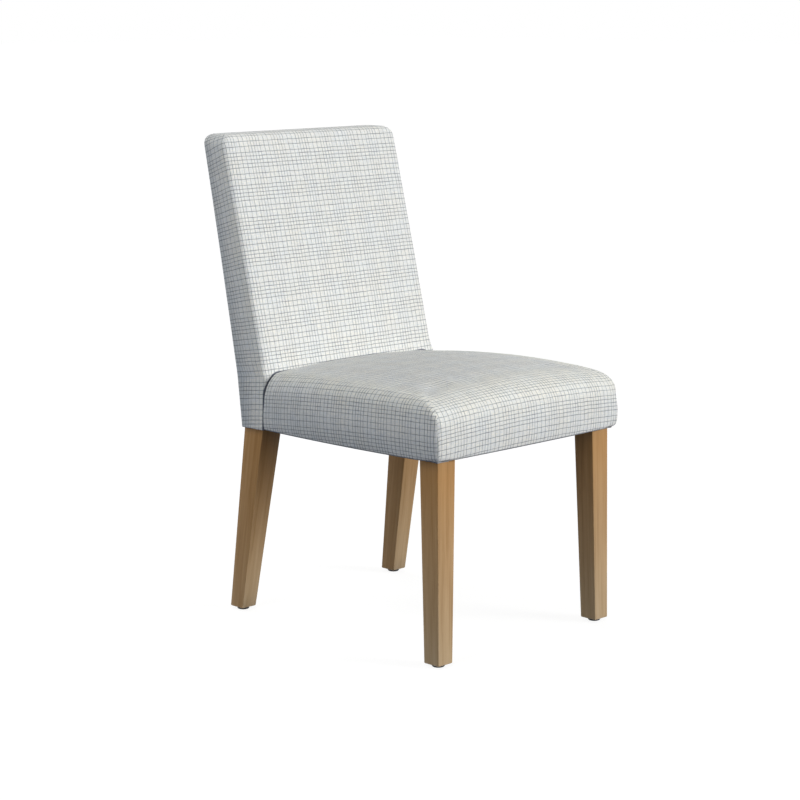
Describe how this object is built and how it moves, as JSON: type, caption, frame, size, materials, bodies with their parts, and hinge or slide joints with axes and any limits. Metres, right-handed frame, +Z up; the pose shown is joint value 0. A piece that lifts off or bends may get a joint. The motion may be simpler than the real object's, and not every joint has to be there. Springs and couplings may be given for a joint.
{
  "type": "parsons chair",
  "caption": "Upholstered dining chair with a wooden frame, tapered wooden legs, a padded seat and a raked padded back.",
  "frame": {"origin": "on the floor, under the middle of the chair's bounding box", "axes": "+Z up, -Y towards the front of the seat, +X towards the right as seen from the front"},
  "size_m": [0.4572, 0.5842, 0.8255],
  "materials": {
    "leg_wood": "satin stain",
    "frame_wood": "bare",
    "cover_fabric": "off-white linen look with a thin grey grid",
    "foam": "open-cell foam",
    "wadding": "loose fibre",
    "webbing": "woven elastic",
    "card": "plain",
    "dust_cloth": "thin non-woven cloth",
    "glide_plastic": "matt",
    "fastener_steel": "zinc plated"
  },
  "bodies": {
    "root": {"back_cover": "cover_fabric", "back_foam": "foam", "back_panel_rear": "cover_fabric", "back_rail_lower": "frame_wood", "back_rail_top": "frame_wood", "back_strap_cross_1": "webbing", "back_strap_cross_2": "webbing", "back_strap_cross_3": "webbing", "back_strap_upright_1": "webbing", "back_strap_upright_2": "webbing", "back_strap_upright_3": "webbing", "back_wadding": "wadding", "block_screw_front_left_cross": "fastener_steel", "block_screw_front_left_side": "fastener_steel", "block_screw_front_right_cross": "fastener_steel", "block_screw_front_right_side": "fastener_steel", "block_screw_rear_left_cross": "fastener_steel", "block_screw_rear_left_side": "fastener_steel", "block_screw_rear_right_cross": "fastener_steel", "block_screw_rear_right_side": "fastener_steel", "corner_block_front_left": "frame_wood", "corner_block_front_right": "frame_wood", "corner_block_rear_left": "frame_wood", "corner_block_rear_right": "frame_wood", "dust_cover": "dust_cloth", "front_leg_left": "leg_wood", "front_leg_right": "leg_wood", "glide_front_left": "glide_plastic", "glide_front_right": "glide_plastic", "glide_nail_front_left": "fastener_steel", "glide_nail_front_right": "fastener_steel", "glide_nail_rear_left": "fastener_steel", "glide_nail_rear_right": "fastener_steel", "glide_rear_left": "glide_plastic", "glide_rear_right": "glide_plastic", "rear_leg_left": "leg_wood", "rear_leg_right": "leg_wood", "seat_cover": "cover_fabric", "seat_foam": "foam", "seat_rail_front": "frame_wood", "seat_rail_left": "frame_wood", "seat_rail_rear": "frame_wood", "seat_rail_right": "frame_wood", "seat_strap_cross_1": "webbing", "seat_strap_cross_2": "webbing", "seat_strap_cross_3": "webbing", "seat_strap_length_1": "webbing", "seat_strap_length_2": "webbing", "seat_strap_length_3": "webbing", "seat_wadding": "wadding", "tack_strip_left": "card", "tack_strip_right": "card", "tack_strip_top": "card"}
  },
  "joints": []
}
